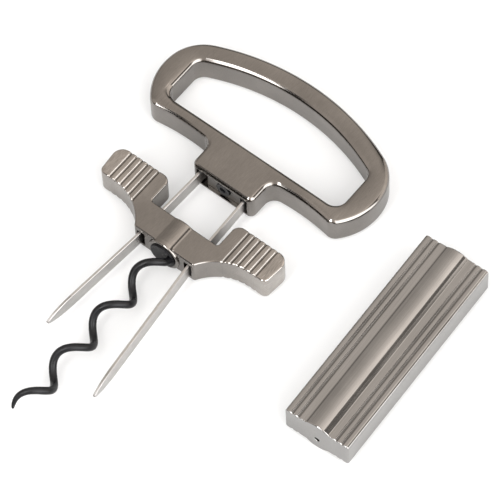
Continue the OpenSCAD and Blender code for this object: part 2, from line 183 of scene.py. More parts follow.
class CorkSheathSizes(bpy.types.PropertyGroup):
    reach: length("Length", "Length of the sheath", 84.6)
    width: length("Width", "Width of the sheath", 26.5)
    thickness: length("Thickness", "Thickness at the flat sides", 11.8)
    edge: length("Edge", "Radius of the long edges", 1.2)
    rib_r: length("Rib", "Radius of the central rib", 7.5)
    cavity_w: length("Cavity width", "Width of the cavity", 23.4)
    cavity_h: length("Cavity height", "Height of the cavity", 7.6)
    cavity_r: length("Bore", "Radius of the bore for the worm", 5.7)
    end: length("Closed end", "Thickness of the closed end", 2.4)
    flute_in: length("Inner groove", "Middle to the inner grooves", 7.9)
    flute_out: length("Outer groove", "Middle to the outer grooves", 10.4)
    flute_r: length("Groove", "Radius of the grooves", 0.55)
    hole_r: length("Hole", "Radius of the hole in the closed end", 1.3)
    hole_rim: length("Hole rim", "Rounding of the hole's rim", 0.3)
    hole_drop: length("Hole drop", "How far the hole is below the middle", 2)
    end_edge: length("End edge", "Rounding of both ends", 0.5)
    place: position("Place", "Middle of the closed end", (0.0873, -0.0635, 0.007))
    turn: angle("Turn", "Turn of the sheath", 2.7)


class CorkFinishes(bpy.types.PropertyGroup):
    casting: colour("Casting", "Reflection of the gunmetal plating", (0.298, 0.281, 0.264))
    sheath: colour("Sheath", "Reflection of the sheath's plating", (0.427, 0.42, 0.413))
    blade: colour("Blades", "Reflection of the spring steel", (0.6, 0.585, 0.57))
    clamp: colour("Clamp", "Reflection of the clamp plate", (0.22, 0.21, 0.2))
    black: colour("Black parts", "Colour of the coated worm, hub and screw", (0.008, 0.008, 0.009))
    floor: colour("Floor", "Colour of the floor", (0.64, 0.632, 0.624))


class CorkStudio(bpy.types.PropertyGroup):
    camera_place: position("Camera", "Place of the camera", (0.49004595, -0.54685578, 1.21979142))
    camera_turn: FloatVectorProperty(
        name="Camera turn", description="Turn of the camera", size=3, subtype="EULER", unit="ROTATION",
        default=tuple(math.radians(a) for a in (30.09417, 1.63959, 38.71351)))
    camera_lens: FloatProperty(name="Lens", description="Focal length in millimetres", default=288)
    floor_z: length("Floor", "Height of the floor", -0.5)
    sky: number("Sky", "Strength of the studio light", 1.0)
    sky_colour: colour("Sky colour", "Tint of the studio light in the metal", (1.0, 0.91, 0.83))


# Outlines

def way(a):
    """Unit vector at an angle of a radians from +X."""
    return np.array([math.cos(a), math.sin(a)])


def arc(centre, r, a0, a1, n, skip=0):
    """Points of an arc from a0 to a1 radians, without the first few."""
    a = np.linspace(a0, a1, n + 1)[skip:]
    return np.c_[centre[0] + r * np.cos(a), centre[1] + r * np.sin(a)]


def line(a, b, n, skip=0):
    """Points of a straight line in n steps, without the first few."""
    t = np.linspace(0, 1, n + 1)[skip:, None]
    return np.asarray(a) + (np.asarray(b) - np.asarray(a)) * t


def whole_loop(half):
    """Closed loop of points on the +X side and their mirror image."""
    back = half[-2:0:-1] * [-1, 1]
    return np.r_[half, back]


def rounded_path(corners):
    """Points and outward normals along a counter-clockwise path of (x, y, radius) corners."""
    points, normals = [], []
    p = np.array([c[:2] for c in corners], float)
    last = len(corners) - 1
    for i, (x, y, r) in enumerate(corners):
        if i in (0, last):
            d = p[1] - p[0] if i == 0 else p[-1] - p[-2]
            points.append(p[i])
            normals.append(np.array([d[1], -d[0]]) / np.hypot(*d))
            continue
        before, after = p[i] - p[i - 1], p[i + 1] - p[i]
        before, after = before / np.hypot(*before), after / np.hypot(*after)
        turn = math.atan2(before[0] * after[1] - before[1] * after[0], before @ after)
        start = p[i] - before * abs(r * math.tan(turn / 2))
        side = 1 if turn > 0 else -1
        inward = np.array([-before[1], before[0]]) * side
        centre = start + inward * r
        n = max(4, int(abs(turn) * math.sqrt(r * 1000) * ARC_STEPS))
        for t in np.linspace(0, turn, n + 1):
            out = -inward * side
            normal = np.array([out[0] * math.cos(t) - out[1] * math.sin(t),
                               out[0] * math.sin(t) + out[1] * math.cos(t)])
            points.append(centre + normal * side * r)
            normals.append(normal)
    return np.array(points), np.array(normals)


def spread(points, normals, step):
    """The same path with extra points on its straight stretches, at most a step apart."""
    out_p, out_n = [points[0]], [normals[0]]
    for i in range(1, len(points)):
        n = max(1, int(math.ceil(np.hypot(*(points[i] - points[i - 1])) / step)))
        for k in range(1, n + 1):
            t = k / n
            out_p.append(points[i - 1] * (1 - t) + points[i] * t)
            normal = normals[i - 1] * (1 - t) + normals[i] * t
            out_n.append(normal / np.hypot(*normal))
    return np.array(out_p), np.array(out_n)


def edge_steps(r, count):
    """Steps of a rounded edge of radius r, from the face to the side: how far each is in from the
    side, and how far from the face."""
    return [(r * (1 - math.sin(a)), r * (1 - math.cos(a)))
            for a in np.radians(np.linspace(0, 90, count + 1))]


# Meshes

def in_scene(name, data):
    """A new object with this data, linked into the scene."""
    thing = bpy.data.objects.new(name, data)
    bpy.context.scene.collection.objects.link(thing)
    return thing


def new_piece(name, vertices, faces, sharp=40):
    """A closed mesh object with outward faces, in the shared frame. `sharp` is in degrees."""
    mesh = bpy.data.meshes.new(name)
    mesh.from_pydata([tuple(v) for v in vertices], [], [tuple(f) for f in faces])
    piece = in_scene(name, mesh)
    tidy_mesh(piece, sharp)
    return piece


def tidy_mesh(piece, sharp=40):
    """Merges doubles, turns the faces outwards and marks the sharp edges."""
    bm = bmesh.new()
    bm.from_mesh(piece.data)
    bmesh.ops.remove_doubles(bm, verts=bm.verts, dist=MERGE)
    bmesh.ops.dissolve_degenerate(bm, edges=bm.edges, dist=MERGE)
    bmesh.ops.recalc_face_normals(bm, faces=bm.faces)
    bm.to_mesh(piece.data)
    bm.free()
    piece.data.shade_smooth()
    piece.data.set_sharp_from_angle(angle=math.radians(sharp))


def ring_faces(rings, n, closed=True):
    """Quads between rings of n points each; if closed, the last ring meets the first."""
    faces = []
    for i in range(rings if closed else rings - 1):
        for j in range(n):
            k = (j + 1) % n
            m = (i + 1) % rings
            faces.append((i * n + j, i * n + k, m * n + k, m * n + j))
    return faces


def tube_faces(rings, n):
    """Faces of a tube through rings of n points each, with both its ends closed."""
    ends = [tuple(range(n)), tuple(range((rings - 1) * n, rings * n))]
    return ring_faces(rings, n, closed=False) + ends


def bake(piece):
    """Replaces the piece's mesh by its evaluated one, without the modifiers."""
    graph = bpy.context.evaluated_depsgraph_get()
    mesh = bpy.data.meshes.new_from_object(piece.evaluated_get(graph))
    old = piece.data
    piece.modifiers.clear()
    piece.data = mesh
    mesh.name = piece.name
    bpy.data.meshes.remove(old)


def combine(piece, other, operation):
    """Cuts the other mesh out of the piece, or joins it, and deletes the other."""
    step = piece.modifiers.new("combine", "BOOLEAN")
    step.operation = operation
    step.solver = "EXACT"
    step.object = other
    bake(piece)
    mesh = other.data
    bpy.data.objects.remove(other)
    bpy.data.meshes.remove(mesh)


def block(lo, hi):
    """Cutter in the shape of a box, between two corners."""
    x, y, z = zip(lo, hi)
    vertices = [(x[i], y[j], z[k]) for i in (0, 1) for j in (0, 1) for k in (0, 1)]
    faces = [(0, 1, 3, 2), (4, 6, 7, 5), (0, 4, 5, 1), (2, 3, 7, 6), (0, 2, 6, 4), (1, 5, 7, 3)]
    return new_piece("cutter", vertices, faces)


def turned(profile, x, z, sides=96):
    """Solid of revolution about an axis along Y, from (radius, y) points."""
    a = np.linspace(0, 2 * np.pi, sides, endpoint=False)
    vertices = [(x + r * math.cos(t), y, z + r * math.sin(t)) for r, y in profile for t in a]
    return new_piece("cutter", vertices, tube_faces(len(profile), sides))


def soften(piece, width):
    """Small rounding along the hard edges."""
    edge = piece.modifiers.new("edge", "BEVEL")
    edge.width = width
    edge.segments = 3
    edge.limit_method = "ANGLE"
    edge.angle_limit = math.radians(30)
    bake(piece)
    piece.data.shade_smooth()
    piece.data.set_sharp_from_angle(angle=math.radians(60))


def flat_areas(bm):
    """For every face, the area of the flat patch that it belongs to."""
    areas = [0.0] * len(bm.faces)
    for seed in bm.faces:
        if areas[seed.index]:
            continue
        areas[seed.index] = 1.0
        patch, waiting = [seed], [seed]
        while waiting:
            for edge in waiting.pop().edges:
                for face in edge.link_faces:
                    if not areas[face.index] and face.normal.dot(seed.normal) > PATCH_COSINE:
                        areas[face.index] = 1.0
                        patch.append(face)
                        waiting.append(face)
        total = sum(face.calc_area() for face in patch)
        for face in patch:
            areas[face.index] = total
    return areas


def corner_fan(first, left):
    """The corners around the first one's point that no sharp edge cuts off from it."""
    fan, waiting = [first], [first]
    while waiting:
        corner = waiting.pop()
        for edge in (corner.edge, corner.link_loop_prev.edge):
            if not edge.smooth:
                continue
            for other in edge.link_loops:
                near = other if other.vert == corner.vert else other.link_loop_next
                if near in left:
                    left.discard(near)
                    fan.append(near)
                    waiting.append(near)
    return fan


def finish_surface(piece):
    """Normals that keep flat patches flat, and a value per corner: 1 on an edge, -1 in a hollow."""
    mesh = piece.data
    bm = bmesh.new()
    bm.from_mesh(mesh)
    bm.faces.ensure_lookup_table()
    bm.normal_update()
    areas = flat_areas(bm)
    count = 0
    for face in bm.faces:
        for corner in face.loops:
            corner.index = count
            count += 1
    normals = [None] * count
    relief = np.zeros(count, np.float32)
    for vertex in bm.verts:
        turns = [edge.calc_face_angle_signed(0.0) for edge in vertex.link_edges]
        bend = max(turns, key=abs, default=0.0)
        value = max(-1.0, min(1.0, bend / FULL_BEND))
        left = set(vertex.link_loops)
        while left:
            fan = corner_fan(left.pop(), left)
            normal = Vector()
            for corner in fan:
                normal += corner.face.normal * (areas[corner.face.index] * corner.calc_angle())
            normal = normal.normalized() if normal.length else fan[0].face.normal
            for corner in fan:
                normals[corner.index] = normal
                if areas[corner.face.index] < PATCH_AREA:
                    relief[corner.index] = value
    bm.free()
    store = mesh.attributes.new("relief", "FLOAT", "CORNER")
    store.data.foreach_set("value", relief)
    mesh.shade_smooth()
    mesh.normals_split_custom_set(normals)


def clear_hollows(piece, half):
    """Keeps the painted shade and grime out of the hollows that are closer to the middle than half."""
    mesh = piece.data
    relief = np.zeros(len(mesh.loops), np.float32)
    mesh.attributes["relief"].data.foreach_get("value", relief)
    corner = np.zeros(len(mesh.loops), np.int32)
    mesh.loops.foreach_get("vertex_index", corner)
    place = np.zeros(len(mesh.vertices) * 3, np.float32)
    mesh.vertices.foreach_get("co", place)
    near = np.abs(place[0::3][corner]) < half
    relief[near & (relief < 0)] = 0
    mesh.attributes["relief"].data.foreach_set("value", relief)


def copy_of_node(node, name):
    """A merged copy of a CAD node's mesh as a new piece."""
    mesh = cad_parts[node].data.copy()
    mesh.name = name
    mesh.materials.clear()
    piece = in_scene(name, mesh)
    bm = bmesh.new()
    bm.from_mesh(mesh)
    bmesh.ops.remove_doubles(bm, verts=bm.verts, dist=2 * MERGE)
    bmesh.ops.dissolve_limit(bm, angle_limit=math.radians(0.5), verts=bm.verts, edges=bm.edges)
    bm.to_mesh(mesh)
    bm.free()
    return piece


def settle(piece, body, node, material):
    """Gives the piece its finish and its body, and hides the CAD node that it stands for."""
    piece.data.materials.clear()
    piece.data.materials.append(material)
    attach(piece, body)
    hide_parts(node)


def edged_copy(node, body, width, material):
    """A copy of a CAD node with its edges rounded, which takes the node's place."""
    piece = copy_of_node(node, node + "_edged")
    soften(piece, width)
    finish_surface(piece)
    settle(piece, body, node, material)


# Node trees

class Tree:
    """Short way to add and link nodes."""

    def __init__(self, tree):
        self.tree = tree

    def add(self, kind, inputs=None, **settings):
        node = self.tree.nodes.new(kind)
        for key, value in settings.items():
            setattr(node, key, value)
        for key, value in (inputs or {}).items():
            self.put(node.inputs[key], value)
        return node

    def put(self, socket, value):
        if isinstance(value, bpy.types.NodeSocket):
            self.tree.links.new(value, socket)
        else:
            socket.default_value = value

    def math(self, operation, a, b=0.0, clamp=False):
        node = self.add("ShaderNodeMath", {0: a, 1: b}, operation=operation, use_clamp=clamp)
        return node.outputs[0]

    def times(self, a, b):
        return self.math("MULTIPLY", a, b)

    def rest(self, a):
        """What is left of 1."""
        return self.math("SUBTRACT", 1.0, a)

    def remap(self, value, old, new=(0.0, 1.0), soft=False):
        """A value moved from one range to another, and held within it."""
        limits = {"From Min": old[0], "From Max": old[1], "To Min": new[0], "To Max": new[1]}
        node = self.add("ShaderNodeMapRange", {"Value": value, **limits},
                        interpolation_type="SMOOTHSTEP" if soft else "LINEAR")
        return node.outputs[0]


def shader_group(name, sockets_in, sockets_out):
    """A new node group: its tree, the values given to it and its results."""
    tree = bpy.data.node_groups.new(name, "ShaderNodeTree")
    for label, kind, default in sockets_in:
        socket = tree.interface.new_socket(label, in_out="INPUT", socket_type=kind)
        if default is not None:
            socket.default_value = default
    for label in sockets_out:
        tree.interface.new_socket(label, in_out="OUTPUT", socket_type="NodeSocketFloat")
    t = Tree(tree)
    return t, t.add("NodeGroupInput").outputs, t.add("NodeGroupOutput").inputs


def streak_group():
    """Fine streaks along one direction with soft clouds, as left by brushing and plating."""
    name = "Plating streaks"
    if name in bpy.data.node_groups:
        return bpy.data.node_groups[name]
    t, given, result = shader_group(
        name,
        [("Vector", "NodeSocketVector", None), ("Stretch", "NodeSocketVector", (1.0, 0.05, 1.0)),
         ("Scale", "NodeSocketFloat", 2500.0), ("Cloud scale", "NodeSocketFloat", 60.0)],
        ["Streaks", "Clouds"])
    stretched = t.add("ShaderNodeVectorMath", {0: given["Vector"], 1: given["Stretch"]},
                      operation="MULTIPLY")
    fine = t.add("ShaderNodeTexNoise", {"Vector": stretched.outputs[0], "Scale": given["Scale"],
                                        "Detail": 3.0, "Roughness": 0.6})
    cloud = t.add("ShaderNodeTexNoise", {"Vector": given["Vector"], "Scale": given["Cloud scale"],
                                         "Detail": 3.0, "Roughness": 0.55})
    t.put(result["Streaks"], fine.outputs["Fac"])
    t.put(result["Clouds"], cloud.outputs["Fac"])
    return t.tree


def wear_group():
    """Where an edge is rubbed in patches, and where a hollow gets painted shade and holds grime."""
    name = "Edge wear"
    if name in bpy.data.node_groups:
        return bpy.data.node_groups[name]
    t, given, result = shader_group(
        name, [("Relief", "NodeSocketFloat", 0.0), ("Cloud", "NodeSocketFloat", 0.5)], ["Worn", "Soiled"])
    patches, edges, hollows = (0.42, 0.58), (0.3, 1.0), (-0.4, -0.95)
    worn = t.times(t.remap(given["Relief"], edges), t.remap(given["Cloud"], patches))
    t.put(result["Worn"], worn)
    # The hollow value darkens the colour as painted shade, and roughens the surface as grime
    t.put(result["Soiled"], t.remap(given["Relief"], hollows))
    return t.tree


def new_finish(name):
    """An empty material, its node tree and the socket for its shader."""
    material = bpy.data.materials.new(name)
    material.use_nodes = True
    material.node_tree.nodes.clear()
    t = Tree(material.node_tree)
    return material, t, t.add("ShaderNodeOutputMaterial").inputs["Surface"]


def lay_on(t, surface, colour, level, roughness, bump, height, sockets):
    """The shader of a finish: its colour times a level, its roughness, its bumps and other sockets."""
    shade = t.add("ShaderNodeVectorMath", {0: tuple(colour[:3]), "Scale": level}, operation="SCALE")
    relief = t.add("ShaderNodeBump", {"Strength": bump, "Distance": BUMP_DEPTH, "Height": height})
    shader = t.add("ShaderNodeBsdfPrincipled", {"Base Color": shade.outputs[0], "Roughness": roughness,
                                                "Normal": relief.outputs[0], **sockets})
    t.put(surface, shader.outputs[0])


def metal(name, colour, roughness, streaks, stretch, turn=0.0, scale=2500.0,
          tint=0.07, rough_range=0.04, bump=0.02, rubbed=0.12, touched=None):
    """Plated or ground metal: streaks and clouds vary its tint, roughness and surface. Worn edges
    differ by the share `rubbed`. Outside the two half widths in `touched` fingers have rubbed the
    plating paler."""
    # The first value darkens the colour in the hollows, a painted shade; the second makes them rougher,
    # as grime
    hollow_shade, grime_rough = 0.5, 0.2
    touch_range, touch_share = (0.35, 0.65), (0.3, 1.0)
    material, t, surface = new_finish(name)
    place = t.add("ShaderNodeTexCoord").outputs["Object"]
    mapping = t.add("ShaderNodeMapping", {"Vector": place, "Rotation": (0.0, 0.0, -turn)})
    marks = t.add("ShaderNodeGroup", {"Vector": mapping.outputs[0], "Stretch": stretch, "Scale": scale},
                  node_tree=streak_group()).outputs
    streak, cloud = marks["Streaks"], marks["Clouds"]
    both = t.math("ADD", t.times(streak, streaks), t.times(cloud, 1 - streaks))
    relief = t.add("ShaderNodeAttribute", attribute_name="relief").outputs["Fac"]
    wear = t.add("ShaderNodeGroup", {"Relief": relief, "Cloud": cloud}, node_tree=wear_group()).outputs
    level = t.remap(both, NOISE_RANGE, (1 - tint, 1 + tint))
    level = t.times(level, t.math("ADD", 1.0, t.times(wear["Worn"], rubbed)))
    # Painted shade: the colour is darker in the hollows
    level = t.times(level, t.rest(t.times(wear["Soiled"], hollow_shade)))
    if touched:
        across = t.add("ShaderNodeSeparateXYZ", {0: place}).outputs[0]
        pale = t.remap(t.math("ABSOLUTE", across), touched, soft=True)
        pale = t.times(pale, t.remap(both, touch_range, touch_share))
        level = t.times(level, t.math("ADD", 1.0, pale))
    rough = t.remap(both, NOISE_RANGE, (roughness - rough_range, roughness + rough_range))
    rough = t.math("ADD", rough, t.times(wear["Soiled"], grime_rough))
    lay_on(t, surface, colour, level, rough, bump, streak, {"Metallic": 1.0})
    return material


def black_coat(name, colour, roughness, shine=0.3):
    """Black low-friction coating with faint wear and mottling."""
    mottle_range, mottle = (0.35, 0.7), (0.8, 1.9)
    smoother, rougher, bump = 0.08, 0.1, 0.15
    material, t, surface = new_finish(name)
    place = t.add("ShaderNodeTexCoord").outputs["Object"]
    marks = t.add("ShaderNodeGroup", {"Vector": place, "Stretch": (1.0, 1.0, 1.0), "Scale": 1200.0,
                                      "Cloud scale": 250.0}, node_tree=streak_group()).outputs
    level = t.remap(marks["Clouds"], mottle_range, mottle)
    rough = t.remap(marks["Clouds"], NOISE_RANGE, (roughness - smoother, roughness + rougher))
    lay_on(t, surface, colour, level, rough, bump, marks["Streaks"], {"Specular IOR Level": shine})
    return material


# Handle

CORNER_STEPS, COVE_STEPS, BAR_STEPS, FOOT_STEPS = 12, 31, 20, 20
SIDE_STEPS, SHOULDER_STEPS, FAR_STEPS = 30, 40, 60
BOSS_POINTS = 1 + CORNER_STEPS + 1 + COVE_STEPS + 1


def handle_frame(s):
    """Centres of the outline's arcs, angles at which they meet, and the chord of the opening."""
    far_c = np.array([0, s.reach - s.boss_end - s.far_r])
    shoulder_c = far_c + (s.far_r - s.shoulder_r) * way(s.far_half)[::-1]
    side_c = shoulder_c - (s.side_r - s.shoulder_r) * way(s.side_top)
    foot_c = side_c + (s.side_r - s.foot_r) * way(-s.side_foot)
    foot_run = foot_c[0] - s.bar_x
    bar_c = np.array([s.bar_x, foot_c[1] - math.sqrt((s.bar_r + s.foot_r) ** 2 - foot_run ** 2)])
    cove_x = s.boss_w / 2 + s.cove_r
    cove_run = cove_x - s.bar_x
    cove_c = np.array([cove_x, bar_c[1] + math.sqrt((s.bar_r - s.cove_r) ** 2 - cove_run ** 2)])
    foot_a = math.atan2(foot_c[1] - bar_c[1], foot_run)
    cove_a = math.atan2(cove_c[1] - bar_c[1], cove_run)
    return far_c, shoulder_c, side_c, foot_c, bar_c, cove_c, foot_a, cove_a, bar_c[1] + s.bar_r + s.bar


def handle_outer(s, d):
    """Outer outline of the ring and boss, moved inward by d, and the chord of the opening."""
    far_c, shoulder_c, side_c, foot_c, bar_c, cove_c, foot_a, cove_a, chord_y = handle_frame(s)
    corner_c = (s.boss_w / 2 - s.boss_corner_r, s.boss_corner_r - s.boss_end)
    half = np.r_[
        [[0, d - s.boss_end]],
        arc(corner_c, s.boss_corner_r - d, -QUARTER, 0, CORNER_STEPS),
        arc(cove_c, s.cove_r + d, math.pi, cove_a, COVE_STEPS),
        arc(bar_c, s.bar_r + d, cove_a, foot_a, BAR_STEPS, 1),
        arc(foot_c, s.foot_r - d, foot_a - math.pi, -s.side_foot, FOOT_STEPS, 1),
        arc(side_c, s.side_r - d, -s.side_foot, s.side_top, SIDE_STEPS, 1),
        arc(shoulder_c, s.shoulder_r - d, s.side_top, QUARTER - s.far_half, SHOULDER_STEPS, 1),
        arc(far_c, s.far_r - d, QUARTER - s.far_half, QUARTER, FAR_STEPS, 1)]
    return whole_loop(half), chord_y


def handle_grip(s, d, chord_y):
    """Outline of the finger opening, moved into the metal by d, with a point for each outer one."""
    r = s.grip_corner_r
    centre = np.array([0, s.reach - s.boss_end - s.crown - s.grip_far_r])
    cx = s.grip_half - r
    cy = centre[1] + math.sqrt((s.grip_far_r - r) ** 2 - cx ** 2)
    join = math.atan2(cy - centre[1], cx)
    low_y = chord_y + r
    corner_from, corner_to, cove_from, cove_to = (share * s.boss_w for share in (0.2, 0.4, 0.5, 0.7))

    def chord(x0, x1, n, skip=0):
        return line((x0, chord_y - d), (x1, chord_y - d), n, skip)

    half = np.r_[
        [[0, chord_y - d]],
        chord(corner_from, corner_to, CORNER_STEPS),
        chord(cove_from, cove_to, COVE_STEPS),
        chord(cove_to, cx, BAR_STEPS, 1),
        arc((cx, low_y), r + d, -QUARTER, 0, FOOT_STEPS, 1),
        line((s.grip_half + d, low_y), (s.grip_half + d, cy), SIDE_STEPS, 1),
        arc((cx, cy), r + d, 0, join, SHOULDER_STEPS, 1),
        arc(centre, s.grip_far_r + d, join, QUARTER, FAR_STEPS, 1)]
    return whole_loop(half)


def crown_share(count):
    """How much of the crown each point of the outline carries: none on the boss, all on the ring."""
    half = np.zeros(count // 2 + 1)
    half[BOSS_POINTS + BAR_STEPS:] = 1.0
    ramp = np.linspace(0, 1, BAR_STEPS)
    half[BOSS_POINTS:BOSS_POINTS + BAR_STEPS] = ramp * ramp * (3 - 2 * ramp)
    return np.r_[half, half[-2:0:-1]]


def make_handle(s, name):
    """Ring and boss: rounded edges all round, and a slightly crowned upper face on the ring."""
    strips = 8
    edge = edge_steps(s.edge, 10)
    chord_y = handle_outer(s, 0)[1]
    rings = []

    def outer(d):
        return handle_outer(s, d)[0]

    def grip(d):
        return handle_grip(s, d, chord_y)

    def add_edge(outline, steps, low):
        for d, rise in steps:
            height = rise if low else s.thickness - drop - rise
            loop = outline(d)
            rings.append(np.c_[loop, np.broadcast_to(height, len(loop))])

    rim = outer(s.edge)
    width = np.hypot(*(grip(s.edge) - rim).T)
    # An arched face falls by a quarter of its width times the slope at its edges
    drop = crown_share(len(rim)) * width * math.tan(s.crown_slope) / 4
    add_edge(outer, edge, True)
    add_edge(outer, edge[:0:-1], False)
    start = rings[-1]
    inset, rise = edge[1]
    end = np.c_[grip(inset), s.thickness - drop - rise]
    for k in range(1, strips):
        w = k / strips
        strip = start * (1 - w) + end * w
        strip[:, 2] = s.thickness - (drop + rise) * (2 * w - 1) ** 2
        rings.append(strip)
    add_edge(grip, edge[1:], False)
    add_edge(grip, edge[::-1], True)
    piece = new_piece(name, np.concatenate(rings), ring_faces(len(rings), len(rim)))
    mid = s.thickness / 2
    combine(piece, block((-s.channel_w / 2, -s.boss_end - CUTTER_MARGIN, mid - s.channel_h / 2),
                         (s.channel_w / 2, s.channel_depth - s.boss_end, mid + s.channel_h / 2)),
            "DIFFERENCE")
    combine(piece, turned([(s.screw_bore, -s.boss_end), (s.screw_bore, s.screw_bore_end)], 0, mid),
            "DIFFERENCE")
    tidy_mesh(piece)
    finish_surface(piece)
    return piece


# Prongs

def prong_line(s, reach, splay, boss_end, foot_y):
    """Centre line of a blade in plan, from its foot to its tip, and the place of its corner in it."""
    root_stations, body_stations, point_stations = 24, 40, 28
    past_root, crowding = 0.02, 1.6
    bend_y, tip_y = -boss_end - s.bend, -boss_end - reach
    body_y = tip_y + s.point
    bend_x = s.root_x + s.bend * math.tan(s.root_splay)
    tip_x = bend_x + (bend_y - tip_y) * math.tan(splay)
    half = s.thickness / 2
    root_x = s.root_x - (boss_end + foot_y + half) * math.tan(s.root_splay)
    centre = [(s.foot_x, foot_y), (root_x - half, foot_y), (root_x, foot_y)]
    corner = len(centre) - 1
    for t in np.linspace(past_root, 1, root_stations):
        centre.append((root_x + (bend_x - root_x) * t, foot_y + (bend_y - foot_y) * t))
    ys = [bend_y + (body_y - bend_y) * t for t in np.linspace(0, 1, body_stations)[1:]]
    ys += [body_y + (tip_y - body_y) * (1 - (1 - t) ** crowding)
           for t in np.linspace(0, 1, point_stations)[1:]]
    for y in ys:
        centre.append((bend_x + (tip_x - bend_x) * (bend_y - y) / (bend_y - tip_y), y))
    return np.array(centre), corner


def make_prong(s, name, side, reach, splay, boss_end, channel_depth, mid):
    """Blade with a foot, a bend and a long curved point, swept through its stations."""
    half, tall = s.thickness / 2, s.height / 2
    blunt, sharpness, bevel_share = 0.3 * s.tip_r, 1.35, 0.4
    centre, corner = prong_line(s, reach, splay, boss_end, channel_depth - boss_end - half)
    vertices = []
    for i, p in enumerate(centre):
        # The foot lies across the blade, and the corner between them is mitred
        offset = np.array([half if i >= corner else 0, half if i <= corner else 0])
        a, b = p - offset, p + offset
        left = max(0.0, (p[1] - centre[-1][1]) / s.point) if i > corner else 1.0
        h = tall
        if left < 1:
            h = blunt + (tall - blunt) * math.sqrt(max(0.0, 1 - (1 - left) ** 2)) ** sharpness
        e = min(s.edge, h * bevel_share)
        across = (b - a) / np.hypot(*(b - a))
        for q, z in ((a, -h + e), (a + across * e, -h), (b - across * e, -h), (b, -h + e),
                     (b, h - e), (b - across * e, h), (a + across * e, h), (a, h - e)):
            vertices.append((side * q[0], q[1], mid + z))
    piece = new_piece(name, vertices, tube_faces(len(centre), 8), sharp=30)
    finish_surface(piece)
    return piece


# Carriage

def smooth_max(a, b, k):
    """Larger of two heights, with a soft join of width k."""
    h = np.clip(0.5 + 0.5 * (a - b) / k, 0, 1)
    return b + (a - b) * h + k * h * (1 - h)


def groove_dip(u, half, depth):
    """Depth of a narrow groove with soft lips, at a distance u from its middle."""
    return depth * np.maximum(1 - (u / half) ** 2, 0) ** 2


def carriage_path(s):
    """Points and normals of the carriage's outline on the +X side."""
    block_r, waist_share, waist_inset, step = 0.0011, 0.93, 0.0002, 0.0004
    a = s.wing_slant
    far_c = np.array([s.wing_half - s.far_r, s.wing_far_y - s.far_r])
    touch = far_c + way(-a) * s.far_r
    down = -way(a)[::-1]
    near = touch + down * (touch[1] - s.wing_near_y) / math.cos(a)
    far = touch - down * (s.wing_far_y - touch[1]) / math.cos(a)
    r = s.waist_r
    drop = s.near_y - (s.wing_near_y - r)
    meet = s.waist_x - math.sqrt(r ** 2 - drop ** 2)
    turn = math.atan2(drop, meet - s.waist_x)
    tangent = way(turn)[::-1] * [-1, 1]
    waist = np.array([meet, s.near_y]) - tangent * (r * math.tan((turn - QUARTER) / 2))
    corners = [(0, s.near_y, 0), (meet + waist_inset, s.near_y, block_r), (*waist, r * waist_share),
               (*near, s.near_r), (*far, s.far_r), (s.shoulder_x, s.wing_far_y, s.inner_r),
               (s.shoulder_x, s.far_y, block_r), (0, s.far_y, 0)]
    return spread(*rounded_path(corners), step)


def carriage_height(s, x, r_edge, depth):
    """Height of a face above the middle at x, with its edge rounded at a depth inside the outline."""
    groove_share, rib_inset, rib_join = 0.92, 0.00003, 0.0003
    z = np.full(len(x), s.thickness / 2)
    for i in range(s.grooves):
        u = np.abs(np.abs(x) - s.groove_x - i * s.groove_pitch)
        z = z - groove_dip(u, groove_share * s.groove_r, s.groove_depth)
    rib = np.sqrt(np.maximum((s.barrel_r - rib_inset) ** 2 - x ** 2, 0))
    z = smooth_max(z, rib, rib_join)
    fall = r_edge - np.sqrt(np.maximum(r_edge ** 2 - np.maximum(r_edge - depth, 0) ** 2, 0))
    return z - fall


def carriage_columns(s):
    """Places of the grid's columns in x: close together across each groove and the rib."""
    step, gap, rib_columns, rib_share = 0.0006, 0.0015, 22, 1.3
    shares = (0, 0.1, 0.22, 0.34, 0.46, 0.58, 0.7, 0.82, 0.94, 1.06, 1.35)
    groove_half = math.sqrt(s.groove_r ** 2 - (s.groove_r - s.groove_depth) ** 2)
    rib_end = math.sqrt(s.barrel_r ** 2 - (s.thickness / 2) ** 2) * rib_share
    middles = [s.groove_x + i * s.groove_pitch for i in range(s.grooves)]
    columns = [middle + sign * share * groove_half
               for middle in middles for share in shares for sign in (-1, 1)]
    columns += list(np.linspace(0, rib_end, rib_columns))
    columns += [x for x in np.arange(rib_end + step, s.wing_half, step)
                if x < middles[0] - gap or x > middles[-1] + gap]
    columns = np.array(sorted({round(x, 6) for x in columns}))
    return np.r_[-columns[::-1], columns]


def depth_inside(points, outline):
    """Distance of each point from a closed outline, less than 0 outside it."""
    best = np.full(len(points), 1.0)
    crossings = np.zeros(len(points), int)
    for a, b in zip(outline, np.roll(outline, -1, 0)):
        ab = b - a
        t = np.clip(((points - a) @ ab) / (ab @ ab), 0, 1)
        best = np.minimum(best, np.hypot(*(points - a - t[:, None] * ab).T))
        spans = (a[1] > points[:, 1]) != (b[1] > points[:, 1])
        if spans.any():
            xi = a[0] + (points[:, 1] - a[1]) * ab[0] / ab[1]
            crossings += spans & (points[:, 0] < xi)
    return np.where(crossings % 2 == 1, best, -best)


